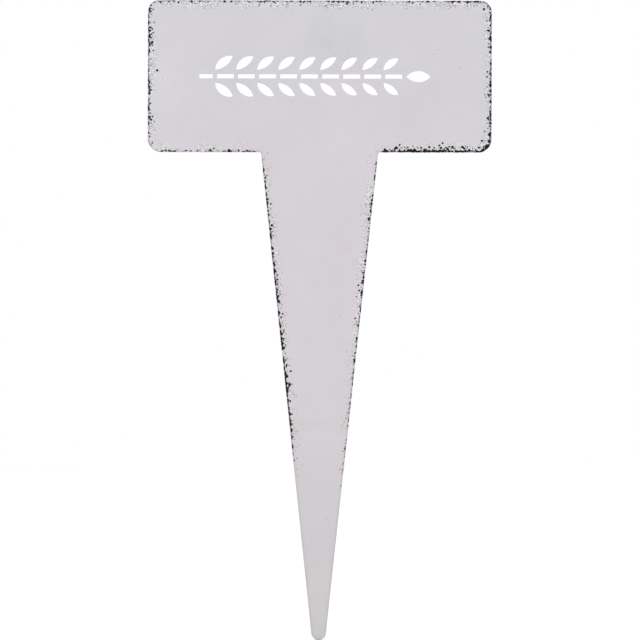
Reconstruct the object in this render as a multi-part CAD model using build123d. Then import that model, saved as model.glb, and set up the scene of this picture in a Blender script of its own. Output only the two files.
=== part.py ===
from build123d import *
import os
from math import asin, atan2, cos, hypot, radians, sin

# A plant label stake for a pot or a herb bed: one blank of sheet steel, laser cut in one pass.
# A wide label head stands on a long blade, which tapers to a rounded tip and is pushed into the soil.
# The name field of the head is pierced with a herb sprig. Pairs of leaves lean along a stem of
# dashes, and every opening is parted from the next by a bridge of sheet.
# Frame: +Z up, the tip of the blade at the origin, the front of the label facing -Y,
# and the sheet centred on Y = 0. All sizes are in millimetres, all angles in degrees.

# The blank as a whole
overall_height = 185.8
sheet_thickness = 1.0
edge_round = 0.2  # the outer edges are broken, front and back

# Label head
head_width = 99.9
head_height = 44.1
head_top_corner_radius = 3.3
head_foot_corner_radius = 3.9

# Blade
blade_root_width = 34.0  # where the flanks meet the underside of the head
blade_root_fillet = 0.5  # the two inner corners
blade_tip_radius = 2.1

# Pierced sprig: it lies along the head and grows to the right, as seen from the front
sprig_length = 67.4
sprig_height = 11.9
sprig_shift = -1.4  # its middle lies a little left of the middle of the head
bridge_width = 1.1  # sheet left standing between two openings
stem_slot_width = 1.4
stalk_length = 4.6  # the bare stretch of stem before the first pair of leaves
leaf_pair_count = 9
leaf_lean = 38.0  # between a leaf and the stem
last_leaf_share = 0.86  # the last pair of leaves against the first
leaf_back_share = 0.6  # of a leaf's width, the side turned to the stalk
end_leaf_length = 7.2
end_leaf_width = 3.4
even_share = 0.5  # the end leaf is the same on both sides
leaf_tip_radius = 0.3


def blank_outline():
    """Head and blade as one face. The flanks touch the round of the tip and run up to the head."""
    head_foot = overall_height - head_height
    root_reach = blade_root_width / 2
    root_rise = head_foot - blade_tip_radius
    taper = atan2(root_reach, root_rise) - asin(blade_tip_radius / hypot(root_reach, root_rise))
    flank_end = (blade_tip_radius * cos(taper), blade_tip_radius - blade_tip_radius * sin(taper))
    with BuildSketch(Plane.XZ) as outline:
        with BuildLine():
            FilletPolyline(
                (0, overall_height),
                (head_width / 2, overall_height),
                (head_width / 2, head_foot),
                (root_reach, head_foot),
                flank_end,
                radius=(head_top_corner_radius, head_foot_corner_radius, blade_root_fillet),
            )
            RadiusArc(flank_end, (0, 0), blade_tip_radius)
            mirror(about=Plane.YZ)
        make_face()
    return outline.sketch


def leaf_opening(length, width, back_share):
    """A pointed oval from the origin along X. Its back, on +Y, is the fuller side, and its tip is round."""
    with BuildSketch() as leaf:
        with BuildLine():
            ThreePointArc((0, 0), (length / 2, width * back_share), (length, 0))
            ThreePointArc((length, 0), (length / 2, -width * (1 - back_share)), (0, 0))
        make_face()
        fillet(leaf.vertices().sort_by(Axis.X)[-1], leaf_tip_radius)
    return leaf.sketch


def sprig_openings():
    """All openings of the sprig as one sketch, with the stem along X and its middle at the origin."""
    stem_length = sprig_length - stalk_length - end_leaf_length - bridge_width / 2
    pitch = stem_length / leaf_pair_count
    leaf_foot = stem_slot_width / 2 + bridge_width
    first_leaf_length = (sprig_height / 2 - leaf_foot) / sin(radians(leaf_lean))
    first_leaf_width = pitch * sin(radians(leaf_lean)) - bridge_width
    stalk_dash = stalk_length - bridge_width / 2
    sprig_start = -sprig_length / 2
    first_node = sprig_start + stalk_length
    end_leaf_start = sprig_length / 2 - end_leaf_length
    with BuildSketch() as sprig:
        with Locations((sprig_start + stalk_dash / 2, 0)):
            Rectangle(stalk_dash, stem_slot_width)
        for index in range(leaf_pair_count):
            node = first_node + index * pitch
            with Locations((node + pitch / 2, 0)):
                Rectangle(pitch - bridge_width, stem_slot_width)
            share = 1 - (1 - last_leaf_share) * index / (leaf_pair_count - 1)
            leaf = leaf_opening(first_leaf_length * share, first_leaf_width * share, leaf_back_share)
            upper_leaf = Pos(node, leaf_foot) * Rot(0, 0, leaf_lean) * leaf
            add(upper_leaf)
            add(mirror(upper_leaf, about=Plane.XZ))
        add(Pos(end_leaf_start, 0) * leaf_opening(end_leaf_length, end_leaf_width, even_share))
    return sprig.sketch


def stake_plate():
    """The whole stake: outline and openings cut through the sheet, then the outer edges broken."""
    sprig_height_in_head = overall_height - head_height / 2
    with BuildPart() as stake:
        with BuildSketch(Plane.XZ):
            add(blank_outline().face())
            with Locations((sprig_shift, sprig_height_in_head)):
                add(sprig_openings(), mode=Mode.SUBTRACT)
        extrude(amount=sheet_thickness / 2, both=True)
        faces = stake.faces().sort_by(Axis.Y)
        fillet(faces[0].outer_wire().edges() + faces[-1].outer_wire().edges(), edge_round)
    return stake.part


os.makedirs("parts", exist_ok=True)
export_step(stake_plate(), "parts/stake_plate.step")
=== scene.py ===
# %% [markdown]
# # A plant label stake, dressed in Blender
#
# The real object is a flat metal label for a herb pot. One blank of sheet steel was laser cut,
# given a black base coat, and sprayed with a matt top coat of pale lilac-grey. Knocks and soil have
# chipped the top coat along its outer edges, and the black shows through.
#
# The CAD model already holds the steel: its outline, its thickness and the herb sprig that is
# pierced through it. This script adds what CAD leaves out: the two coats, and the chips.
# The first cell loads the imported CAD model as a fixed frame. Everything below is in metres.

# %% Load the frame
from math import hypot, radians

import bmesh
import bpy
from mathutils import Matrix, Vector


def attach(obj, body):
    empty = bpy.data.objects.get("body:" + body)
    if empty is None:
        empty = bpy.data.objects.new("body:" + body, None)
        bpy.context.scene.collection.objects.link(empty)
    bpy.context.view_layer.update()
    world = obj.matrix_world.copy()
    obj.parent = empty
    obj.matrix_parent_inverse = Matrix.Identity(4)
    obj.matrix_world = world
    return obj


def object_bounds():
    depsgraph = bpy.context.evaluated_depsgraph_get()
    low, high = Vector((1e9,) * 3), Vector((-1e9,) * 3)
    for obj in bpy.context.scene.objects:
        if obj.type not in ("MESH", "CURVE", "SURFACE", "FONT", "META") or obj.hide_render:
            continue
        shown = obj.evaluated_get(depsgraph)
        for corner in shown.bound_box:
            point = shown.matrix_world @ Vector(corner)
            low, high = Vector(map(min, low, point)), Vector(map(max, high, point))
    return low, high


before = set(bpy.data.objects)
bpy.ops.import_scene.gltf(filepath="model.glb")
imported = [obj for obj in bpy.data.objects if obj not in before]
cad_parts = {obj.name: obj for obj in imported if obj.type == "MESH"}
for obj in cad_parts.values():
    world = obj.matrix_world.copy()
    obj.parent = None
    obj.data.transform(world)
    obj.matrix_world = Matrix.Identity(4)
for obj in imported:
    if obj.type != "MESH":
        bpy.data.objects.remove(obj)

scene = bpy.context.scene
cad_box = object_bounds()
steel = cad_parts["stake_plate"]
mm = 0.001
print("CAD box in mm:", [[round(value / mm, 2) for value in corner] for corner in cad_box])

# %% [markdown]
# ## The camera
#
# The photograph looks straight at the front of the label. No side wall shows at either end of the
# head, so the lens was long and far away. A long lens does the same here: one pixel of the
# 640-pixel image covers the same 0.29 mm at the top and at the tip.
# The label hangs an eighth of a degree out of plumb in the photograph. The camera is rolled by that
# much instead, because the CAD frame is never turned.

# %% Camera
image_width = 640
label_height_in_pixels = 639.2
lens = 200.0
sensor = 36.0
aim_right = 0.22 * mm
aim_height = 92.95 * mm
roll = radians(-0.126)
pixel = (cad_box[1][2] - cad_box[0][2]) / label_height_in_pixels
distance = lens / sensor * image_width * pixel

camera_data = bpy.data.cameras.new("camera")
camera_data.lens = lens
camera_data.sensor_width = sensor
camera_data.clip_start = 0.01
camera = bpy.data.objects.new("camera", camera_data)
camera.location = (aim_right, -distance, aim_height)
camera.rotation_euler = (radians(90), roll, 0)
scene.collection.objects.link(camera)
scene.camera = camera
print(f"camera {distance:.3f} m away, {pixel / mm:.4f} mm to a pixel")

# %% [markdown]
# ## Floor and light
#
# The label was photographed as a cut-out on white, in soft light with no shadow. A pale floor under
# the tip, a white world, one large lamp in front and above, its twin behind and a larger one
# overhead give the same look. The world is pure white only where the camera sees it directly. As a
# light it is weaker, or the edges of the sheet would glow and lose their soft dark line.
# The view transform is Standard, so that a matt grey comes out as the grey that it was given.

# %% World
scene.view_settings.view_transform = "Standard"
backdrop_white = 1.0
ambient = 0.70

world = bpy.data.worlds.new("white studio")
world.use_nodes = True
scene.world = world
world_nodes = world.node_tree.nodes
background = world_nodes["Background"]
background.inputs["Color"].default_value = (1, 1, 1, 1)
light_path = world_nodes.new("ShaderNodeLightPath")
seen_or_lit = world_nodes.new("ShaderNodeMapRange")
seen_or_lit.inputs["To Min"].default_value = ambient
seen_or_lit.inputs["To Max"].default_value = backdrop_white
world.node_tree.links.new(light_path.outputs["Is Camera Ray"], seen_or_lit.inputs["Value"])
world.node_tree.links.new(seen_or_lit.outputs["Result"], background.inputs["Strength"])
print("world:", backdrop_white, "as the camera sees it,", ambient, "as a light")


# %% Lamps
def soft_lamp(name, place, aim, size, watts):
    """A square area lamp at a place, turned to face a point."""
    data = bpy.data.lights.new(name, "AREA")
    data.size = size
    data.energy = watts
    lamp = bpy.data.objects.new(name, data)
    lamp.location = place
    lamp.rotation_euler = (Vector(aim) - Vector(place)).to_track_quat("-Z", "Y").to_euler()
    scene.collection.objects.link(lamp)


tip = (0, 0, 0)
head_middle = (0, 0, 0.16)
soft_lamp("key lamp", place=(-0.35, -1.35, 0.95), aim=head_middle, size=1.0, watts=5)
soft_lamp("back lamp", place=(0.6, 1.3, 0.9), aim=head_middle, size=1.0, watts=5)
soft_lamp("overhead lamp", place=(0, 0, 1.6), aim=tip, size=2.0, watts=14)
print("lamps:", ", ".join(data.name for data in bpy.data.lights))

# %% Floor
floor_gap = 0.08 * mm  # the coat reaches 0.05 mm below the steel's tip
floor_reach = 1.2
paper_tone = (0.92, 0.92, 0.92, 1)
paper_roughness = 0.9

corners = [(-floor_reach, -floor_reach), (floor_reach, -floor_reach),
           (floor_reach, floor_reach), (-floor_reach, floor_reach)]
floor_mesh = bpy.data.meshes.new("floor")
floor_mesh.from_pydata([(x, y, -floor_gap) for x, y in corners], [], [(0, 1, 2, 3)])
floor = bpy.data.objects.new("floor", floor_mesh)
scene.collection.objects.link(floor)
paper = bpy.data.materials.new("pale paper")
paper.use_nodes = True
paper_shader = paper.node_tree.nodes["Principled BSDF"]
paper_shader.inputs["Base Color"].default_value = paper_tone
paper_shader.inputs["Roughness"].default_value = paper_roughness
floor_mesh.materials.append(paper)
print("floor:", 2 * floor_reach, "m wide")

# %% [markdown]
# ## Small helpers for node trees
#
# Every tree below is a list of nodes and the wires between them. A few helpers keep that list
# readable. The first adds a node with its settings and inputs in a single line: a value that is
# itself an output socket is wired up, and any other value is typed into the socket. The others do
# arithmetic, make noise, spread a value from one range over another, and open a node group.


# %% Node helpers
def add(tree, kind, inputs=None, **settings):
    """Add a node, apply its settings, then wire or fill its inputs by name or by place."""
    node = tree.nodes.new(kind)
    for name, value in settings.items():
        setattr(node, name, value)
    for socket, value in (inputs or {}).items():
        if isinstance(value, bpy.types.NodeSocket):
            tree.links.new(value, node.inputs[socket])
        else:
            node.inputs[socket].default_value = value
    return node


def maths(tree, operation, *values, clamp=False):
    """One Math node on one, two or three values, and its result."""
    node = add(tree, "ShaderNodeMath", dict(enumerate(values)), operation=operation, use_clamp=clamp)
    return node.outputs[0]


def product(tree, first, *others):
    """Two or more values, multiplied in order."""
    for other in others:
        first = maths(tree, "MULTIPLY", first, other)
    return first


def vectors(tree, operation, *values):
    """One Vector Math node. Lengths and the like come out as a value, the rest as a vector."""
    node = add(tree, "ShaderNodeVectorMath", dict(enumerate(values)), operation=operation)
    return node.outputs["Value" if operation in ("LENGTH", "DISTANCE", "DOT_PRODUCT") else "Vector"]


def scaled(tree, vector, factor):
    """A vector or a colour times a value."""
    return add(tree, "ShaderNodeVectorMath", {0: vector, "Scale": factor}, operation="SCALE").outputs[0]


def noise(tree, scale, detail, **inputs):
    """A soft noise, mostly from 0.3 to 0.7. scale is its lumps per metre."""
    return add(tree, "ShaderNodeTexNoise", {"Scale": scale, "Detail": detail, **inputs}).outputs[0]


def spread(tree, value, low, high, to_low=0.0, to_high=1.0):
    """A value from low to high, spread over to_low to to_high, and held there beyond the ends."""
    inputs = {"Value": value, "From Min": low, "From Max": high, "To Min": to_low, "To Max": to_high}
    return add(tree, "ShaderNodeMapRange", inputs).outputs[0]


def open_group(name, kind, inputs, outputs):
    """A node group with named sockets. inputs is {name: (socket type, value)}, outputs {name: type}."""
    tree = bpy.data.node_groups.new(name, kind)
    for socket, (socket_type, value) in inputs.items():
        made = tree.interface.new_socket(socket, in_out="INPUT", socket_type="NodeSocket" + socket_type)
        if value is not None:
            made.default_value = value
    for socket, socket_type in outputs.items():
        tree.interface.new_socket(socket, in_out="OUTPUT", socket_type="NodeSocket" + socket_type)
    return tree, tree.nodes.new("NodeGroupInput").outputs, tree.nodes.new("NodeGroupOutput").inputs


# %% [markdown]
# ## Where the label is worn
#
# Paint chips where things knock against it. On the real label the head's right underside and its
# corner took the most knocks, the top edge few, and the wear on the blade stops where the soil
# began to protect it. The two inner corners under the head are nearly whole, and the walls of the
# pierced sprig are not worn at all.
#
# The chips could be painted by hand, but then none could be moved later. Instead a guide line
# follows the rim of the steel, read from the CAD mesh itself so that it can't miss the edge, and
# each of its points carries a number: the share of the edge that is bare just there. The share is
# given at a few stations round the outline and runs evenly from one to the next.

# %% Walk round the rim
hair = 0.001 * mm  # closer than this is the same place
rim_step = 0.5 * mm


def welded(mesh_object):
    """A bmesh of a CAD node with its loose triangles joined. The node itself is left alone."""
    joined = bmesh.new()
    joined.from_mesh(mesh_object.data)
    bmesh.ops.remove_doubles(joined, verts=joined.verts, dist=hair)
    return joined


def outline_loop(joined, level):
    """The points of the outer outline at one depth in the sheet, clockwise from the top right corner."""
    on_level = {vert for vert in joined.verts if abs(vert.co.y - level) < hair}
    start = max(on_level, key=lambda vert: (vert.co.z, vert.co.x))
    walked, last, here = [], None, start
    while here is not start or not walked:
        walked.append(here)
        ahead = [edge.other_vert(here) for edge in here.link_edges]
        ahead = [vert for vert in ahead if vert in on_level and vert is not last]
        # The first step goes down the corner, and after it only one way leads on
        last, here = here, min(ahead, key=lambda vert: vert.co.z) if last is None else ahead[0]
    return walked


def spaced_evenly(points, step):
    """Points at even steps along a closed outline."""
    spaced, travelled, wanted = [], 0.0, 0.0
    for (x0, z0), (x1, z1) in zip(points, points[1:] + points[:1]):
        run = hypot(x1 - x0, z1 - z0)
        while wanted < travelled + run:
            part_way = (wanted - travelled) / run
            spaced.append((x0 + (x1 - x0) * part_way, z0 + (z1 - z0) * part_way))
            wanted += step
        travelled += run
    return spaced


plate = welded(steel)
wall_level = max(vert.co.y for vert in plate.verts if vert.co.y < 0)
rim = spaced_evenly([(vert.co.x, vert.co.z) for vert in outline_loop(plate, wall_level)], rim_step)
plate.free()
turning = sum(x0 * z1 - x1 * z0 for (x0, z0), (x1, z1) in zip(rim, rim[1:] + rim[:1]))
print(f"rim: {len(rim)} points, {'anticlockwise' if turning > 0 else 'clockwise'} as seen from the front")

# %% Wear stations
# x and z in mm, and the share of the edge that is bare there
wear_stations = [
    (47, 185.8, 0.64), (40, 186, 0.42), (32, 186, 0.34), (22, 186, 0.32), (12, 186, 0.36),
    (0, 186, 0.44), (-15, 186, 0.44), (-28, 186, 0.34), (-40, 186, 0.30), (-47, 186, 0.32),
    (-50, 181, 0.54), (-50, 174, 0.90), (-50, 167, 0.56), (-50, 157, 0.62), (-50, 150, 0.70),
    (-50, 146, 0.36), (-46, 142, 0.34), (-38, 142, 0.42), (-28, 142, 0.50), (-19, 142, 0.40),
    (-17.6, 142, 0.08), (-16.8, 139.5, 0.08), (-16.5, 137, 0.38), (-15.5, 128, 0.66),
    (-14, 116, 0.66), (-12, 102, 0.76), (-11, 92, 0.70), (-10, 86, 0.88), (-9, 74, 0.80),
    (-8, 66, 0.66), (-7.3, 59, 0.48), (-6.6, 54, 0.26), (-6.1, 50, 0),
    (0, 0, 0), (5.4, 43, 0), (6.1, 49, 0.26), (7.4, 61, 0.28), (8.7, 71, 0.32), (11, 90, 0.54),
    (12, 98, 0.52), (14, 113, 0.44), (15, 122, 0.34), (15.7, 130, 0.36), (16.5, 137, 0.26),
    (16.9, 140.5, 0.08), (17.5, 142, 0.10), (18.4, 142, 0.70), (22, 142, 0.92), (34, 142, 0.92),
    (44, 142, 0.84), (49, 143, 1.00), (50, 147, 0.68), (50, 157, 0.56), (50, 163, 0.66),
    (50, 168, 0.62), (50, 176, 0.64), (50, 182, 0.70),
]


def nearest(points, x, z):
    """The place in a list of points that is nearest to x, z."""
    return min(range(len(points)), key=lambda place: hypot(points[place][0] - x, points[place][1] - z))


count = len(rim)
marks = sorted((nearest(rim, x * mm, z * mm), bare) for x, z, bare in wear_stations)
# The rim is a ring: the last mark also stands before the first, and the first after the last
marks = [(marks[-1][0] - count, marks[-1][1])] + marks + [(marks[0][0] + count, marks[0][1])]
wear = []
for place in range(count):
    before = max(mark for mark in marks if mark[0] <= place)
    after = min(mark for mark in marks if mark[0] > place)
    part_way = (place - before[0]) / (after[0] - before[0])
    wear.append(before[1] + (after[1] - before[1]) * part_way)
print(f"wear: mean {sum(wear) / count:.2f}, most {max(wear):.2f}")

# %% Guide line
guide_mesh = bpy.data.meshes.new("rim guide")
steps_on = [(place, (place + 1) % count) for place in range(count)]
guide_mesh.from_pydata([(x, 0, z) for x, z in rim], steps_on, [])
wear_attribute = guide_mesh.attributes.new("wear", "FLOAT", "POINT")
wear_attribute.data.foreach_set("value", wear)
inward_attribute = guide_mesh.attributes.new("inward", "FLOAT_VECTOR", "POINT")
for place in range(count):
    (x0, z0), (x1, z1) = rim[place - 1], rim[(place + 1) % count]
    square_on = Vector((z0 - z1, 0, x1 - x0)).normalized()
    inward_attribute.data[place].vector = square_on if turning > 0 else -square_on
guide = bpy.data.objects.new("rim guide", guide_mesh)
scene.collection.objects.link(guide)
print("guide line carries:", wear_attribute.name, "and", inward_attribute.name)

# %% [markdown]
# ## The top coat
#
# Paint is a skin that wraps every surface of the steel, the walls of the cuts as well. The quick way
# to show it is to colour the steel and paint dark spots on it. But a real chip is a hole with an
# edge, and it bites into the outline when the label is seen from the side. So the top coat is made
# as what it is: a closed shell, 0.05 mm proud of the steel. Solidify thickens a welded copy of the
# CAD mesh both ways, so the shell's inner wall lies a little inside the steel, out of sight, and no
# gap can show under it.
#
# The CAD's rounded edge is eleven fine strips. Each chip that crosses it would be cut by all of
# them, so the copy first gets three wider strips in their place, which shade just as smoothly.


# %% Fewer strips on the rounded edge
def stacks_over_edge(joined, levels):
    """For each point of the outline, its points from the side wall over the rounded edge to the flat."""
    stacks = []
    for foot in outline_loop(joined, levels[0]):
        stack = [foot]
        for level in levels[1:]:
            tried = [edge.other_vert(stack[-1]) for edge in stack[-1].link_edges]
            tried = [vert for vert in tried if abs(vert.co.y - level) < hair]
            stack.append(min(tried, key=lambda vert: (vert.co - stack[-1].co).length))
        stacks.append(stack)
    return stacks


def widen_strips(joined, keep_every):
    """Rebuild the rounded edge, front and back, from every so many of its loops."""
    for side in (-1, 1):
        levels = {round(vert.co.y / hair) * hair for vert in joined.verts if vert.co.y * side > 0}
        levels = sorted(levels, key=abs)
        kept = [place for place in range(len(levels)) if place % keep_every == 0 or place == len(levels) - 1]
        stacks = stacks_over_edge(joined, levels)
        dropped = [stack[place] for stack in stacks for place in range(len(levels)) if place not in kept]
        strips = [[stack[place] for place in kept] for stack in stacks]
        bmesh.ops.delete(joined, geom=dropped, context="VERTS")
        for here, there in zip(strips, strips[1:] + strips[:1]):
            for low in range(len(kept) - 1):
                joined.faces.new((here[low], there[low], there[low + 1], here[low + 1]))
    bmesh.ops.recalc_face_normals(joined, faces=joined.faces)


# %% Coat shell
def applied(piece):
    """Swap a piece's mesh for what its modifiers make of it, and remove the modifiers."""
    graph = bpy.context.evaluated_depsgraph_get()
    graph.update()
    result = bpy.data.meshes.new_from_object(piece.evaluated_get(graph))
    piece.modifiers.clear()
    piece.data = result


coat_proud = 0.05 * mm
coat_sunk = 0.05 * mm
coat_thickness = coat_proud + coat_sunk

skin = welded(steel)
widen_strips(skin, keep_every=4)
skin_mesh = bpy.data.meshes.new("top_coat")
skin.to_mesh(skin_mesh)
skin.free()
top_coat = bpy.data.objects.new("top_coat", skin_mesh)
scene.collection.objects.link(top_coat)
thicken = top_coat.modifiers.new("thicken", "SOLIDIFY")
thicken.thickness = coat_thickness
thicken.offset = (coat_proud - coat_sunk) / coat_thickness
thicken.use_even_offset = True
thicken.use_quality_normals = True
applied(top_coat)
print(f"coat shell: {len(top_coat.data.vertices)} points, {len(top_coat.data.polygons)} faces")

# %% [markdown]
# ## Small cells on the flat faces
#
# The shell's front and back are tiled with long thin triangles that fan out from the sprig to the
# rim. A chip that cuts through a dozen such fans leaves faces with over a thousand corners, and
# when those are cut into triangles, some fold over and show as dark slivers. So before any chip is
# cut, the flat faces are remade as square cells of 4 mm. Planes across the shell draw the cells'
# lines, and the old edges between them are dissolved. The rounded edge and the walls are bent a
# little from corner to corner, so they are made triangles, which can't bend.

# %% Cells
flat_enough = 0.9995  # a face whose normal has this much of Y in it is flat
cell = 4 * mm
on_plane = hair / 5  # a point this close to a plane lies on it

shell = bmesh.new()
shell.from_mesh(top_coat.data)
grid_lines = []
for axis, across in ((0, Vector((1, 0, 0))), (2, Vector((0, 0, 1)))):
    place = cad_box[0][axis] + cell / 2
    while place < cad_box[1][axis]:
        everything = shell.verts[:] + shell.edges[:] + shell.faces[:]
        bmesh.ops.bisect_plane(shell, geom=everything, dist=on_plane / 2,
                               plane_co=across * place, plane_no=across)
        grid_lines.append((axis, place))
        place += cell
on_lines = {vert: {line for line in grid_lines if abs(vert.co[line[0]] - line[1]) < on_plane}
            for vert in shell.verts}
shell.normal_update()
old_edges = [edge for edge in shell.edges
             if all(abs(face.normal.y) > flat_enough for face in edge.link_faces)
             and not on_lines[edge.verts[0]] & on_lines[edge.verts[1]]]
bmesh.ops.dissolve_edges(shell, edges=old_edges, use_verts=True)
bent = [face for face in shell.faces if abs(face.normal.y) < flat_enough]
bmesh.ops.triangulate(shell, faces=bent)
shell.to_mesh(top_coat.data)
shell.free()
print(f"cells: {len(top_coat.data.vertices)} points, {len(top_coat.data.polygons)} faces")

# %% [markdown]
# ## Chips that follow the rim
#
# A chip is a small lump of space that is taken out of the coat. Geometry Nodes can set hundreds of
# them along the guide line. One node group does it, and is used again with other sizes for each
# kind of chip. At each step along the guide it decides by chance, weighted by the wear there,
# whether a lump is set. A slow noise bunches them, because knocks come in bunches.
#
# A lump is set inward from the rim by an inset, and a few stray further in. On the blade they keep
# closer to the rim than on the head. Where the edge is worn harder, the lumps are also larger and
# lie further in. The wear power makes a kind of chip rarer still where there is little wear.

# %% Chip group: where a lump is set
chip_sockets = {
    "Guide": ("Geometry", None),
    "Lump": ("Geometry", None),
    "Spacing": ("Float", 0.6 * mm),
    "Density": ("Float", 1.0),
    "Wear Power": ("Float", 1.0),
    "Across": ("Float", -0.5 * mm),
    "Spread Across": ("Float", 0.0),
    "Inset": ("Float", 0.0),
    "Reach": ("Float", 0.2 * mm),
    "Smallest": ("Float", 0.15 * mm),
    "Largest": ("Float", 0.6 * mm),
    "Slimness": ("Float", 0.6),
    "Depth": ("Float", 0.3 * mm),
    "Turn": ("Float", 0.0),
    "Blade Top": ("Float", 139 * mm),
    "Blade Inset Share": ("Float", 0.75),
    "Seed": ("Int", 0),
}
chips, given, made = open_group("chips along the rim", "GeometryNodeTree", chip_sockets,
                                {"Lumps": "Geometry"})
bunches_per_metre = 330.0


def chance(tree, low, high, seed, step):
    """A random value for each point. step keeps the values of one point apart from each other."""
    seed = maths(tree, "ADD", seed, step)
    # The node has sockets for each data type. A float's are at places 2 and 3.
    inputs = {2: low, 3: high, "Seed": seed}
    return add(tree, "FunctionNodeRandomValue", inputs, data_type="FLOAT").outputs[1]


def carried(tree, name, data_type):
    """A value that the points of the guide line carry."""
    return add(tree, "GeometryNodeInputNamedAttribute", {"Name": name}, data_type=data_type).outputs[0]


line = add(chips, "GeometryNodeMeshToCurve", {"Mesh": given["Guide"]}).outputs[0]
steps = add(chips, "GeometryNodeResampleCurve", {"Curve": line, "Length": given["Spacing"]},
            mode="LENGTH")
stations = add(chips, "GeometryNodeCurveToPoints", {"Curve": steps.outputs[0]}, mode="EVALUATED")

worn = carried(chips, "wear", "FLOAT")
bunch = noise(chips, bunches_per_metre, detail=1.0)
bunch = spread(chips, bunch, 0.38, 0.62, to_low=0.65, to_high=1.35)
odds = maths(chips, "POWER", worn, given["Wear Power"])
odds = product(chips, odds, given["Density"], bunch)
draw = chance(chips, 0.0, 1.0, given["Seed"], step=0)
is_set = maths(chips, "LESS_THAN", draw, odds)
print("chip group, where a lump is set:", len(chips.nodes), "nodes")

# %% Chip group: how far in
natural_base = 2.718
blade_to_head = 4 * mm  # over this height the blade's share gives way to the head's
inward = carried(chips, "inward", "FLOAT_VECTOR")
# The logarithm of an even draw is mostly a little below 0, and now and then far below
stray = chance(chips, 0.02, 1.0, given["Seed"], step=1)
stray = maths(chips, "LOGARITHM", stray, natural_base)
far = maths(chips, "SUBTRACT", given["Inset"], product(chips, stray, given["Reach"]))
position = add(chips, "GeometryNodeInputPosition").outputs[0]
rise = add(chips, "ShaderNodeSeparateXYZ", {0: position}).outputs["Z"]
head_foot = maths(chips, "ADD", given["Blade Top"], blade_to_head)
on_blade = spread(chips, rise, given["Blade Top"], head_foot, to_low=given["Blade Inset Share"])
far = product(chips, far, on_blade, spread(chips, worn, 0.30, 0.85, to_low=0.8, to_high=1.1))
wander = chance(chips, -1.0, 1.0, given["Seed"], step=2)
wander = maths(chips, "MULTIPLY_ADD", wander, given["Spread Across"], given["Across"])
sideways = add(chips, "ShaderNodeCombineXYZ", {"Y": wander}).outputs[0]
moved = add(chips, "GeometryNodeSetPosition", {
    "Geometry": stations.outputs["Points"],
    "Offset": vectors(chips, "ADD", scaled(chips, inward, far), sideways),
})
print("chip group, with how far in:", len(chips.nodes), "nodes")

# %% Chip group: turn and size
face_axis = (0, 0, 1)  # the drum's own axis, which stands square to the face
small_bias = 2.5  # a higher power leaves fewer large chips
squared = add(chips, "FunctionNodeAxesToRotation", {0: stations.outputs["Tangent"], 1: inward},
              primary_axis="X", secondary_axis="Y").outputs[0]
angle = product(chips, chance(chips, -1.0, 1.0, given["Seed"], step=6), given["Turn"])
twist = add(chips, "FunctionNodeAxisAngleToRotation", {"Axis": face_axis, "Angle": angle}).outputs[0]
turned = add(chips, "FunctionNodeRotateRotation", {0: squared, 1: twist},
             rotation_space="LOCAL").outputs[0]
mostly_small = chance(chips, 0.0, 1.0, given["Seed"], step=3)
mostly_small = maths(chips, "POWER", mostly_small, small_bias)
usual_size = spread(chips, mostly_small, 0.0, 1.0, given["Smallest"], given["Largest"])
long_way = product(chips, usual_size, spread(chips, worn, 0.0, 1.0, to_low=0.62, to_high=1.35))
slim = product(chips, given["Slimness"], chance(chips, 0.75, 1.25, given["Seed"], step=4))
short_way = product(chips, long_way, slim)
deep = product(chips, given["Depth"], chance(chips, 0.7, 1.3, given["Seed"], step=5))
size = add(chips, "ShaderNodeCombineXYZ", {"X": long_way, "Y": short_way, "Z": deep}).outputs[0]
placed = add(chips, "GeometryNodeInstanceOnPoints", {
    "Points": moved.outputs[0], "Selection": is_set, "Instance": given["Lump"],
    "Rotation": turned, "Scale": size,
})
chips.links.new(placed.outputs[0], made["Lumps"])
print("chip group, whole:", len(chips.nodes), "nodes")

# %% [markdown]
# ## Kinds of chip
#
# Four kinds of chip show on the faces. Rubs are long and thin and run along the rim. Nicks are
# rounder bites next to them, teeth point inward, and dots lie by themselves further in. A fifth
# kind bites into the side wall. The rows below give each kind its own sizes.
#
# Each chip starts as a short drum with eight or nine sides, stood on the face. A ball would do as
# well, but it has many times the faces, and only the outline where it meets the coat is ever seen.

# %% Kinds of chip
half_sheet = cad_box[1][1]
# In mm: spacing, the step along the rim from one draw to the next; inset and reach; low and high,
# half of a chip's length along the rim, from the smallest to the largest; and depth.
# The odds at a step are the wear to a power, times the density and the bunching. slimness is a
# chip's width to its length, turn is in degrees, and sides is how many the drum has.
face_kinds = {
    "rubs": dict(spacing=0.48, density=1.05, power=1, inset=0.22, reach=0.04, low=0.21, high=0.70,
                 slimness=0.34, depth=0.24, turn=5, sides=8),
    "nicks": dict(spacing=0.48, density=0.64, power=1, inset=0.34, reach=0.10, low=0.18, high=0.48,
                  slimness=0.80, depth=0.30, turn=30, sides=8),
    "teeth": dict(spacing=0.48, density=0.50, power=1.5, inset=0.46, reach=0.15, low=0.15, high=0.35,
                  slimness=1.5, depth=0.26, turn=45, sides=8),
    "dots": dict(spacing=0.48, density=0.68, power=3, inset=0.85, reach=0.58, low=0.18, high=0.41,
                 slimness=0.85, depth=0.24, turn=90, sides=8),
}
side_nicks = dict(spacing=0.6, density=0.9, power=1, inset=0.0, reach=0.0, low=0.2, high=0.7,
                  slimness=0.9, depth=0.28, turn=20, sides=9)
chip_kinds = [(f"{side} {kind}", across, sizes)
              for side, across in (("front", -half_sheet), ("back", half_sheet))
              for kind, sizes in face_kinds.items()]
chip_kinds.append(("side nicks", 0, side_nicks))
print("kinds of chip:", ", ".join(kind for kind, across, sizes in chip_kinds))

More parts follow.
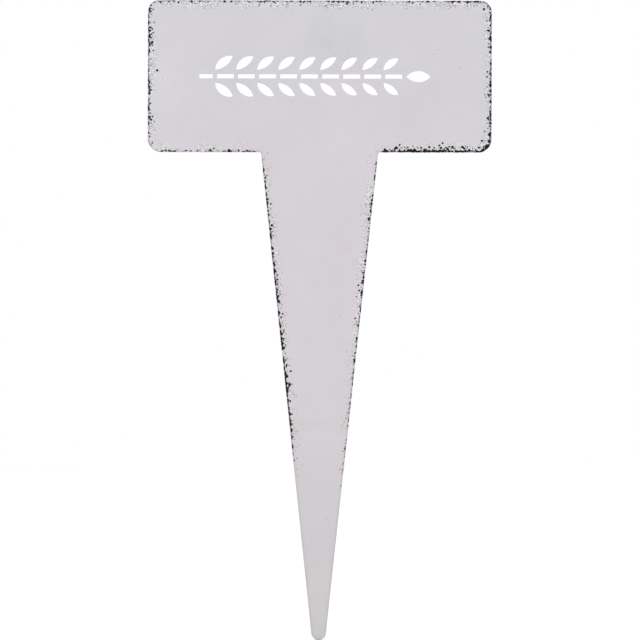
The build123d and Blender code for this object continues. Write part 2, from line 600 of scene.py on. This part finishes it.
# %% [markdown]
# ## Cutting the chips out
#
# The main tree calls the chip group once for each kind of chip, front and back. A fine noise then
# pushes the drums' points about, so that no two chips have the same outline, and each drum is made
# triangles again, because the push bends its sides. Each lump is split off as an instance of its
# own before the Boolean takes all of them out of the coat: the Manifold solver then treats each as
# a solid, and overlapping lumps are no trouble.

# %% Cutting tree: all lumps
tree_sockets = {
    "Coat": ("Geometry", None),
    "Guide": ("Object", None),
    "Material": ("Material", None),
    "Raggedness": ("Float", 0.18 * mm),
    "Seed": ("Int", 5),
}
side_wander = 0.3 * mm  # side nicks lie up to this far from the middle of the sheet
seed_block = 100.0  # two seeds of the tree are this far apart in the draws
seed_stride = 10.0  # and two kinds of chip this far
cut_tree, given, made = open_group("chip the coat", "GeometryNodeTree", tree_sockets, {"Coat": "Geometry"})
guide_line = add(cut_tree, "GeometryNodeObjectInfo", {"Object": given["Guide"]}).outputs["Geometry"]
drums = {}
for sides in sorted({sizes["sides"] for kind, across, sizes in chip_kinds}):
    drum = add(cut_tree, "GeometryNodeMeshCylinder", {"Vertices": sides, "Radius": 1.0, "Depth": 2.0},
               fill_type="TRIANGLE_FAN")
    drums[sides] = drum.outputs["Mesh"]
all_lumps = add(cut_tree, "GeometryNodeJoinGeometry")
for order, (kind, across, sizes) in enumerate(chip_kinds):
    lumps = add(cut_tree, "GeometryNodeGroup", {
        "Guide": guide_line, "Lump": drums[sizes["sides"]], "Spacing": sizes["spacing"] * mm,
        "Density": sizes["density"], "Wear Power": sizes["power"],
        "Across": across, "Spread Across": 0 if across else side_wander,
        "Inset": sizes["inset"] * mm, "Reach": sizes["reach"] * mm, "Smallest": sizes["low"] * mm,
        "Largest": sizes["high"] * mm, "Slimness": sizes["slimness"], "Depth": sizes["depth"] * mm,
        "Turn": radians(sizes["turn"]),
        "Seed": maths(cut_tree, "MULTIPLY_ADD", given["Seed"], seed_block, order * seed_stride),
    }, node_tree=chips, label=kind)
    cut_tree.links.new(lumps.outputs[0], all_lumps.inputs[0])
print("lumps:", len(chip_kinds), "kinds on", len(drums), "drums")

# %% Cutting tree: ragged lumps, then the Boolean
rags_per_metre = 2000.0
noise_middle = (0.5, 0.5, 0.5)
real_lumps = add(cut_tree, "GeometryNodeRealizeInstances", {"Geometry": all_lumps.outputs[0]})
ragged = add(cut_tree, "ShaderNodeTexNoise", {"Scale": rags_per_metre, "Detail": 1.0}).outputs["Color"]
push = scaled(cut_tree, vectors(cut_tree, "SUBTRACT", ragged, noise_middle), given["Raggedness"])
pushed = add(cut_tree, "GeometryNodeSetPosition", {"Geometry": real_lumps.outputs[0], "Offset": push})
shaped = add(cut_tree, "GeometryNodeTriangulate", {"Mesh": pushed.outputs[0]})
island = add(cut_tree, "GeometryNodeInputMeshIsland").outputs["Island Index"]
separate = add(cut_tree, "GeometryNodeSplitToInstances", {"Geometry": shaped.outputs[0], "Group ID": island},
               domain="FACE")
cut = add(cut_tree, "GeometryNodeMeshBoolean", {
    "Mesh 1": given["Coat"], "Mesh 2": separate.outputs["Instances"],
}, operation="DIFFERENCE", solver="MANIFOLD")
plain = add(cut_tree, "GeometryNodeRealizeInstances", {"Geometry": cut.outputs["Mesh"]})
painted = add(cut_tree, "GeometryNodeSetMaterial", {
    "Geometry": plain.outputs[0], "Material": given["Material"],
})
cut_tree.links.new(painted.outputs[0], made["Coat"])
print("cutting tree:", len(cut_tree.nodes), "nodes")

# %% [markdown]
# ## Running the tree
#
# A modifier's inputs are set by the socket's identifier, and the result is kept as a plain mesh.
# Where chips meet, the Boolean leaves a few crumbs of coat, thinner than a hair. On the real label
# they would have fallen off, so every loose part under a tenth of a square millimetre is deleted.
# Larger flakes stay. Last, the faces are cut into triangles, and the edges of the flat front and
# back are marked sharp: the rounded edge then shades smoothly, and the flats stay flat.

# %% Chip the coat
lilac = bpy.data.materials.new("lilac_top_coat")
chipping = top_coat.modifiers.new("chipping", "NODES")
chipping.node_group = cut_tree
socket_ids = {item.name: item.identifier for item in cut_tree.interface.items_tree if item.in_out == "INPUT"}
chipping[socket_ids["Guide"]] = guide
chipping[socket_ids["Material"]] = lilac
applied(top_coat)
bpy.data.objects.remove(guide)
print(f"cut coat: {len(top_coat.data.vertices)} points, {len(top_coat.data.polygons)} faces")


# %% Crumbs
def loose_parts(joined):
    """The faces of a bmesh, as one list for each part that hangs together."""
    parts, seen = [], set()
    for first in joined.faces:
        if first in seen:
            continue
        seen.add(first)
        part, ahead = [], [first]
        while ahead:
            face = ahead.pop()
            part.append(face)
            beside = {other for edge in face.edges for other in edge.link_faces} - seen
            seen |= beside
            ahead.extend(beside)
        parts.append(part)
    return parts


smallest_flake = 0.1 * mm * mm
chipped = bmesh.new()
chipped.from_mesh(top_coat.data)
parts = loose_parts(chipped)
crumbs = [part for part in parts if sum(face.calc_area() for face in part) < smallest_flake]
bmesh.ops.delete(chipped, geom=[face for crumb in crumbs for face in crumb], context="FACES")
print(f"coat in {len(parts)} parts, of which {len(crumbs)} crumbs are gone")

# %% Triangles and sharp edges
soft_turn = 0.87  # the cosine of the steepest fold that still shades smoothly, 30 degrees
bmesh.ops.triangulate(chipped, faces=chipped.faces)
chipped.normal_update()
open_edges = crossed_edges = 0
for edge in chipped.edges:
    faces = edge.link_faces
    open_edges += len(faces) < 2
    crossed_edges += len(faces) > 2
    if len(faces) == 2:
        flats = [abs(face.normal.y) > flat_enough for face in faces]
        edge.smooth = faces[0].normal.dot(faces[1].normal) > soft_turn and flats[0] == flats[1]
for face in chipped.faces:
    face.smooth = True
chipped.to_mesh(top_coat.data)
print(f"chipped coat: {len(chipped.verts)} points, {len(chipped.faces)} triangles")
print(f"{open_edges} open and {crossed_edges} crossed edges")
chipped.free()

# %% [markdown]
# ## Effects that both coats share
#
# Both coats are sprayed, so both have the faint dimples called orange peel, and both vary a little
# in gloss. Both also change near the rim: the pale coat is dusty there, where hands and pots have
# rubbed, and it carries painted shade along its border; the black is rubbed a little smoother.
# These effects are node groups, built once. They read Object coordinates, so they stay put on the
# piece. The distance to the rim could be baked into the mesh, but the outline is simple enough to
# write down: a rectangle with round corners for the head, and two straight flanks for the blade.

# %% Orange peel group
fine_to_coarse = 5.0  # the fine dimples are this many times smaller
gloss_patches_per_metre = 90.0
peel, given, made = open_group("orange peel", "ShaderNodeTree", {
    "Position": ("Vector", None), "Dimple Size": ("Float", 1.1 * mm), "Fine Share": ("Float", 0.3),
}, {"Height": "Float", "Gloss Shift": "Float"})
dimple_scale = maths(peel, "DIVIDE", 1.0, given["Dimple Size"])
dimples = noise(peel, dimple_scale, 2.0, Vector=given["Position"])
fine = noise(peel, product(peel, dimple_scale, fine_to_coarse), 2.0, Vector=given["Position"])
peel.links.new(maths(peel, "MULTIPLY_ADD", fine, given["Fine Share"], dimples), made["Height"])
slow = noise(peel, gloss_patches_per_metre, 3.0, Vector=given["Position"])
peel.links.new(maths(peel, "SUBTRACT", slow, 0.5), made["Gloss Shift"])
print("orange peel:", len(peel.nodes), "nodes")

# %% Rim distance group: the head
rim_gap, given, made = open_group("distance to the rim", "ShaderNodeTree", {
    "Position": ("Vector", None), "Head Half Width": ("Float", cad_box[1][0]),
    "Head Foot": ("Float", 141.7 * mm), "Head Top": ("Float", cad_box[1][2]), "Corner": ("Float", 3.9 * mm),
    "Root Half Width": ("Float", 17.0 * mm), "Tip Half Width": ("Float", 1.87 * mm),
}, {"Distance": "Float", "Inner Corner Distance": "Float"})
at = add(rim_gap, "ShaderNodeSeparateXYZ", {0: given["Position"]}).outputs
beside = maths(rim_gap, "ABSOLUTE", at["X"])
middle = product(rim_gap, maths(rim_gap, "ADD", given["Head Foot"], given["Head Top"]), 0.5)
half_head = maths(rim_gap, "SUBTRACT", given["Head Top"], middle)
over_x = maths(rim_gap, "SUBTRACT", beside, given["Head Half Width"])
over_x = maths(rim_gap, "ADD", over_x, given["Corner"])
over_z = maths(rim_gap, "ABSOLUTE", maths(rim_gap, "SUBTRACT", at["Z"], middle))
over_z = maths(rim_gap, "ADD", maths(rim_gap, "SUBTRACT", over_z, half_head), given["Corner"])
outside = add(rim_gap, "ShaderNodeCombineXYZ", {
    "X": maths(rim_gap, "MAXIMUM", over_x, 0.0), "Y": maths(rim_gap, "MAXIMUM", over_z, 0.0),
}).outputs[0]
inside = maths(rim_gap, "MINIMUM", maths(rim_gap, "MAXIMUM", over_x, over_z), 0.0)
head_gap = maths(rim_gap, "ADD", vectors(rim_gap, "LENGTH", outside), inside)
head_gap = maths(rim_gap, "SUBTRACT", head_gap, given["Corner"])
print("distance to the head's rim:", len(rim_gap.nodes), "nodes")

# %% Rim distance group: the blade
widening = maths(rim_gap, "SUBTRACT", given["Root Half Width"], given["Tip Half Width"])
widening = maths(rim_gap, "DIVIDE", widening, given["Head Foot"])
flank = maths(rim_gap, "MULTIPLY_ADD", at["Z"], widening, given["Tip Half Width"])
above_blade = maths(rim_gap, "SUBTRACT", at["Z"], middle)
beyond_ends = maths(rim_gap, "MAXIMUM", product(rim_gap, at["Z"], -1.0), above_blade)
blade_gap = maths(rim_gap, "MAXIMUM", maths(rim_gap, "SUBTRACT", beside, flank), beyond_ends)
nearest_rim = maths(rim_gap, "MINIMUM", head_gap, blade_gap)
rim_gap.links.new(product(rim_gap, nearest_rim, -1.0), made["Distance"])
off_corner = add(rim_gap, "ShaderNodeCombineXYZ", {
    "X": maths(rim_gap, "SUBTRACT", beside, given["Root Half Width"]),
    "Y": maths(rim_gap, "SUBTRACT", at["Z"], given["Head Foot"]),
}).outputs[0]
rim_gap.links.new(vectors(rim_gap, "LENGTH", off_corner), made["Inner Corner Distance"])
print("distance to the whole rim:", len(rim_gap.nodes), "nodes")

# %% [markdown]
# ## The top coat's colour
#
# The top coat is a matt, pale lilac-grey. Seen close, it isn't even. Down the blade it grows a little
# darker and warmer towards the tip; the darkening is painted shade, where the light falls off lower
# down, so the colour is a ramp along the height. The blade's pink gives way to grey on the head, but
# not on a straight line: a slow noise shifts the height that it is read at, which leaves soft pink
# clouds. A second one lets the brightness drift. Near the rim the coat is painted a little greener
# and darker, as shade along its border, and darker still on the rounded edge, as the painted shade
# of its soft dark line. Each of these is a tint near white, multiplied onto the ramp, so that each
# can be set by itself.


# %% Material helpers
def blend(tree, share, first, second):
    """A mix of two colours by a share from 0 to 1. The node's colour sockets are at places 6 and 7."""
    return add(tree, "ShaderNodeMix", {0: share, 6: first, 7: second}, data_type="RGBA").outputs[2]


def fade(tree, value, start, end):
    """1 at start, falling softly to 0 at end."""
    inputs = {"Value": value, "From Min": start, "From Max": end, "To Min": 1.0, "To Max": 0.0}
    return add(tree, "ShaderNodeMapRange", inputs, interpolation_type="SMOOTHSTEP").outputs[0]


def tint(tree, colour, share, tone):
    """A colour, multiplied by a tone near white as far as the share says."""
    return vectors(tree, "MULTIPLY", colour, blend(tree, share, (1, 1, 1, 1), (*tone, 1)))


# %% Top coat: tones and painted shade by height
lilac.use_nodes = True
coat = lilac.node_tree
coat_shader = coat.nodes["Principled BSDF"]
here = add(coat, "ShaderNodeTexCoord").outputs["Object"]
to_rim, to_inner_corner = add(coat, "ShaderNodeGroup", {"Position": here}, node_tree=rim_gap).outputs

# The height of each tone above the tip in mm, and the tone; lower down it is darker, as painted shade
tones_and_painted_shade = [
    (6, (0.563, 0.538, 0.560)), (17, (0.569, 0.540, 0.563)), (36, (0.573, 0.543, 0.567)),
    (54, (0.588, 0.558, 0.590)), (66, (0.603, 0.570, 0.608)), (135, (0.611, 0.577, 0.616)),
]
ramp_top = 150  # mm
left_to_right, front_to_back, height_up = add(coat, "ShaderNodeSeparateXYZ", {0: here}).outputs
ramp = add(coat, "ShaderNodeValToRGB", {0: maths(coat, "DIVIDE", height_up, ramp_top * mm)})
stops = ramp.color_ramp.elements
stops.remove(stops[-1])
for order, (z, tone) in enumerate(tones_and_painted_shade):
    stop = stops[0] if order == 0 else stops.new(z / ramp_top)
    stop.position = z / ramp_top
    stop.color = (*tone, 1)
colour = ramp.outputs[0]
print("tones along the height:", len(stops))

# %% Top coat: clouds, and painted shade along the rim and the rounded edge
cloud_shift = 100 * mm  # a cloud lifts or drops the height that the grey is read at by a share of this
pink_clouds_per_metre = 45.0
light_clouds_per_metre = 60.0
light_drift = 0.09
neck = (137 * mm, 147 * mm)  # the head begins between these heights
grey_rise = (145 * mm, 157 * mm)  # and turns grey between these
head_grey = (0.976, 1.009, 1.001)
# painted shade: a slightly darker, greener band along the rim
greenish_painted_shade = (0.98, 0.985, 0.97)
painted_shade_band = (0.3 * mm, 1.8 * mm)  # from the rim: whole up to the first, gone beyond the second
# painted shade: the soft dark line along the rounded edge
painted_edge_shade = (0.90, 0.915, 0.915)
painted_edge_shade_band = (0.30 * mm, 0.62 * mm)

cloud = maths(coat, "SUBTRACT", noise(coat, pink_clouds_per_metre, 2.0, Vector=here), 0.5)
shifted = maths(coat, "MULTIPLY_ADD", cloud, cloud_shift, height_up)
on_head = spread(coat, height_up, *neck)
greyed = product(coat, spread(coat, shifted, *grey_rise), on_head)
drift = noise(coat, light_clouds_per_metre, 2.0, Vector=here, Lacunarity=2.3)
drift = maths(coat, "SUBTRACT", drift, 0.5)
colour = tint(coat, colour, greyed, head_grey)
colour = scaled(coat, colour, maths(coat, "MULTIPLY_ADD", drift, light_drift, 1.0))
# painted shade along the rim, a little greener than the coat
colour = tint(coat, colour, fade(coat, to_rim, *painted_shade_band), greenish_painted_shade)
# painted shade: the soft dark line on the rounded edge
colour = tint(coat, colour, fade(coat, to_rim, *painted_edge_shade_band), painted_edge_shade)
print("top coat, with its clouds:", len(coat.nodes), "nodes")

# %% [markdown]
# ## Dust and specks
#
# A band about 3 mm wide along the rim is mottled pale and grey, with a dust of grey specks that are
# too small to be holes. The mottle is a fine noise. The specks are the cells of a Voronoi pattern:
# each cell has random numbers of its own, and they decide whether it holds a speck, how large it is
# and how dark. Both fade away from the rim and down the blade, and a slow noise makes them
# patchy. On the blade the left flank has about twice the specks of the right one, and the two inner
# corners have hardly any. Geometry would be wasted on marks a few tenths of a millimetre wide.

# %% Top coat: mottle
dust_foot = 44 * mm
mottle_top = 145 * mm
dust_band = (0.9 * mm, 3.4 * mm)
clean_corner = (1 * mm, 7 * mm)
dust_patches_per_metre = 130.0
mottles_per_metre = 2300.0

dust_patches = noise(coat, dust_patches_per_metre, 1.0, Vector=here)
dust_patches = spread(coat, dust_patches, 0.40, 0.60, to_low=0.25, to_high=1.4)
away = spread(coat, to_inner_corner, *clean_corner)
dusty = product(coat, fade(coat, to_rim, *dust_band), dust_patches, away)
mottled = product(coat, dusty, spread(coat, height_up, dust_foot, mottle_top))
mottle = noise(coat, mottles_per_metre, 1.0, Vector=here)
mottle = spread(coat, mottle, 0.35, 0.65, to_low=-0.26, to_high=0.27)
colour = scaled(coat, colour, maths(coat, "MULTIPLY_ADD", mottle, mottled, 1.0))
print("top coat, with its mottle:", len(coat.nodes), "nodes")

# %% Top coat: specks
speck_cell = 0.6 * mm
specks_full = 60 * mm  # above this height they are at their full number
speck_odds = 0.8
strays = 0.0015  # the odds of a speck in a cell far from the rim
least_radius = 0.30  # of a speck, in cells
radius_growth = 0.20  # the most that chance adds to it
speck_edge = 10.0  # the higher, the sharper the edge of a speck
least_grey = 0.12  # the share of the grey in a speck
grey_growth = 0.70  # the most that chance adds to it
speck_grey = (0.12, 0.118, 0.12, 1)

pins = add(coat, "ShaderNodeTexVoronoi", {"Vector": here, "Scale": 1 / speck_cell}).outputs
luck = add(coat, "ShaderNodeSeparateColor", {0: pins["Color"]}).outputs
flank_dust = spread(coat, left_to_right, -5 * mm, 5 * mm, to_low=1.8, to_high=0.8)
side_dust = spread(coat, on_head, 0.0, 1.0, to_low=flank_dust)
specked = product(coat, dusty, spread(coat, height_up, dust_foot, specks_full), side_dust)
there = maths(coat, "LESS_THAN", luck[0], maths(coat, "MULTIPLY_ADD", specked, speck_odds, strays))
radius = maths(coat, "MULTIPLY_ADD", luck[1], radius_growth, least_radius)
spot = maths(coat, "SUBTRACT", radius, pins["Distance"])
spot = maths(coat, "MULTIPLY", spot, speck_edge, clamp=True)
mostly_pale = maths(coat, "POWER", luck[2], 2.0)
strength = maths(coat, "MULTIPLY_ADD", mostly_pale, grey_growth, least_grey)
colour = blend(coat, product(coat, spot, there, strength), colour, speck_grey)
print("top coat, with its specks:", len(coat.nodes), "nodes")

# %% [markdown]
# ## Marks of handling
#
# The front carries a few faint marks: two grey patches and a paler end on the head, brown
# thumb marks on the blade, a thin brown line where the soil reached, and a short curved scuff low
# on the blade. The patches and thumb marks share one group, a soft round spot that a noise eats
# into. Each mark is given by its place, as read off the photograph, its size, and the tint that it
# leaves. The soil reached the back as well, so only its line goes right round.

# %% Smudge group
facing = (1, 0, 1)  # times a position, it drops the depth in the sheet
bites_per_metre = 220.0
smudge, given, made = open_group("smudge", "ShaderNodeTree", {
    "Position": ("Vector", None), "Middle": ("Vector", None), "Reach": ("Float", 5 * mm),
}, {"Share": "Float"})
flattened = vectors(smudge, "MULTIPLY", given["Position"], facing)
off_middle = vectors(smudge, "DISTANCE", flattened, given["Middle"])
off_middle = maths(smudge, "DIVIDE", off_middle, given["Reach"])
eaten = noise(smudge, bites_per_metre, 2.0, Vector=given["Position"])
eaten = spread(smudge, eaten, 0.40, 0.60, to_low=0.5)
smudge.links.new(product(smudge, fade(smudge, off_middle, 0.1, 1.0), eaten), made["Share"])
print("smudge:", len(smudge.nodes), "nodes")

# %% Top coat: smudges and the soil line
# x, z and reach in mm, and the tint
smudges = [
    (4.7, 172.7, 13.0, (0.905, 0.930, 0.933)),
    (41.9, 171.5, 8.0, (0.972, 0.975, 0.978)),
    (-50.0, 165.0, 18.0, (1.030, 1.032, 1.030)),
    (7.3, 114.8, 3.4, (0.975, 0.955, 0.930)),
    (10.4, 109.8, 1.8, (0.965, 0.945, 0.925)),
]
soil_mark = 62.5 * mm
soil_band = (0.8 * mm, 2.6 * mm)  # to either side of it
soil_brown = (0.985, 0.978, 0.955)
on_front = maths(coat, "LESS_THAN", front_to_back, 0.0)
for x, z, reach, tone in smudges:
    smudged = add(coat, "ShaderNodeGroup", {
        "Position": here, "Middle": (x * mm, 0, z * mm), "Reach": reach * mm,
    }, node_tree=smudge).outputs["Share"]
    colour = tint(coat, colour, product(coat, smudged, on_front), tone)
off_line = maths(coat, "ABSOLUTE", maths(coat, "SUBTRACT", height_up, soil_mark))
colour = tint(coat, colour, fade(coat, off_line, *soil_band), soil_brown)
print("marks on the front:", len(smudges), "smudges and a soil line")

# %% Top coat: scuff
scuff_middle = (1.7 * mm, 0, 33.95 * mm)
scuff_radius = 1.2 * mm
scuff_edge = (0.03 * mm, 0.14 * mm)  # to either side of its line
scuff_lean = (0.42, 0, 0.91)  # from its middle, the way that the arc faces
scuff_span = (0.70, 0.90)  # how well a place must agree with that way to lie on the arc
scuff_strength = 0.30
from_middle = vectors(coat, "SUBTRACT", vectors(coat, "MULTIPLY", here, facing), scuff_middle)
off_arc = maths(coat, "SUBTRACT", vectors(coat, "LENGTH", from_middle), scuff_radius)
off_arc = maths(coat, "ABSOLUTE", off_arc)
along = vectors(coat, "DOT_PRODUCT", vectors(coat, "NORMALIZE", from_middle), scuff_lean)
scuff = spread(coat, along, *scuff_span, to_high=scuff_strength)
scuff = product(coat, scuff, on_front, fade(coat, off_arc, *scuff_edge))
colour = blend(coat, scuff, colour, speck_grey)
coat.links.new(colour, coat_shader.inputs["Base Color"])
print("top coat, with its scuff:", len(coat.nodes), "nodes")

# %% [markdown]
# ## Gloss and dimples
#
# The top coat is matt, the base coat a satin near-black. Roughness sets that, and it drifts a little
# over the surface with the gloss shift of the orange peel group. The group's height feeds a Bump
# node, with finer dimples on the black than on the top coat.


# %% Finish of both coats
dimple_depth = 0.02 * mm


def finish_coat(tree, shader, position, dimple_size, fine_share, roughness, gloss_share, bump_strength):
    """Place the orange peel in a material, and feed its gloss and its dimples to the shader."""
    dimpled = add(tree, "ShaderNodeGroup", {
        "Position": position, "Dimple Size": dimple_size, "Fine Share": fine_share,
    }, node_tree=peel).outputs
    gloss = maths(tree, "MULTIPLY_ADD", dimpled["Gloss Shift"], gloss_share, roughness)
    tree.links.new(gloss, shader.inputs["Roughness"])
    bump = add(tree, "ShaderNodeBump", {
        "Height": dimpled["Height"], "Strength": bump_strength, "Distance": dimple_depth,
    })
    tree.links.new(bump.outputs[0], shader.inputs["Normal"])


finish_coat(coat, coat_shader, here, dimple_size=1.1 * mm, fine_share=0.35, roughness=0.58,
            gloss_share=0.35, bump_strength=0.25)
coat_shader.inputs["Specular IOR Level"].default_value = 0.35
print("top coat material:", len(coat.nodes), "nodes")

# %% Base coat
deep_black = (0.004, 0.004, 0.0045, 1)
worn_black = (0.012, 0.0115, 0.012, 1)
black_patches_per_metre = 900.0
satin = 0.50
rub_band = (0.1 * mm, 0.8 * mm)  # from the rim
rub_smooths = 0.06

black = bpy.data.materials.new("black_base_coat")
black.use_nodes = True
base = black.node_tree
base_shader = base.nodes["Principled BSDF"]
on_base = add(base, "ShaderNodeTexCoord").outputs["Object"]
base_to_rim = add(base, "ShaderNodeGroup", {"Position": on_base}, node_tree=rim_gap).outputs["Distance"]
patches = spread(base, noise(base, black_patches_per_metre, 3.0, Vector=on_base), 0.4, 0.7)
base.links.new(blend(base, patches, deep_black, worn_black), base_shader.inputs["Base Color"])
rubbed = fade(base, base_to_rim, *rub_band)
rubbed = maths(base, "MULTIPLY_ADD", rubbed, -rub_smooths, satin)
finish_coat(base, base_shader, on_base, dimple_size=0.6 * mm, fine_share=0.6, roughness=rubbed,
            gloss_share=0.3, bump_strength=0.3)
base_shader.inputs["Specular IOR Level"].default_value = 0.12
print("base coat material:", len(base.nodes), "nodes")

# %% [markdown]
# ## Dress the frame
#
# The CAD node stays and takes the base coat. The top coat rides on the same body, so the two move
# as one.

# %% Dress and finish
for slot in steel.material_slots:
    slot.material = black
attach(top_coat, "root")
